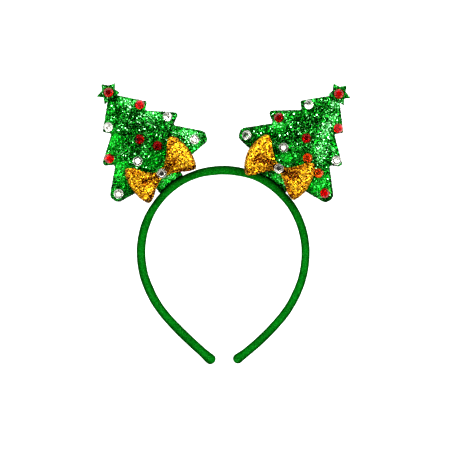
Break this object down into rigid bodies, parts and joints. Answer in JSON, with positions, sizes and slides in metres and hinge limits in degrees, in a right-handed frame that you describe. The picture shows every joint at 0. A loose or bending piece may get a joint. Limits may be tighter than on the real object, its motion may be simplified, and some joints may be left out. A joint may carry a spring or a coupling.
{
  "type": "christmas tree headband",
  "caption": "Headband with a cloth-covered hoop, padded green glitter trees with star tops, gold glitter bows and round cut stones in red, clear and amber.",
  "frame": {"origin": "on the plane the headband lies on, under the middle of its bounding box", "axes": "+Y towards the top of the hoop, +Z towards the front with the bows and stones, +X to the viewer's right"},
  "size_m": [0.1944, 0.2156, 0.0183],
  "materials": {
    "band_cloth": "short-pile green cloth",
    "tree_glitter": "green glitter cloth",
    "bow_glitter": "gold glitter cloth",
    "stone_red": "faceted, foil backed",
    "stone_clear": "faceted, foil backed",
    "stone_amber": "faceted, foil backed"
  },
  "bodies": {
    "root": {"band": "band_cloth", "tree_left": "tree_glitter", "star_left": "tree_glitter", "bow_left": "bow_glitter", "stone_left_upper_inner": "stone_red", "stone_left_upper_outer": "stone_clear", "stone_left_middle_inner": "stone_clear", "stone_left_middle_centre": "stone_red", "stone_left_middle_outer": "stone_red", "stone_left_lower_right": "stone_red", "stone_left_lower_left": "stone_clear", "stone_left_tip_inner": "stone_clear", "stone_left_tip_outer": "stone_clear", "stone_left_star": "stone_red", "stone_left_knot": "stone_clear", "tree_right": "tree_glitter", "star_right": "tree_glitter", "bow_right": "bow_glitter", "stone_right_upper_inner": "stone_clear", "stone_right_upper_outer": "stone_red", "stone_right_middle_inner": "stone_red", "stone_right_middle_centre": "stone_red", "stone_right_middle_outer": "stone_clear", "stone_right_lower_left": "stone_clear", "stone_right_lower_right": "stone_amber", "stone_right_lower_outer": "stone_amber", "stone_right_tip_inner": "stone_clear", "stone_right_tip_outer": "stone_red", "stone_right_star": "stone_red", "stone_right_knot": "stone_clear"}
  },
  "joints": []
}
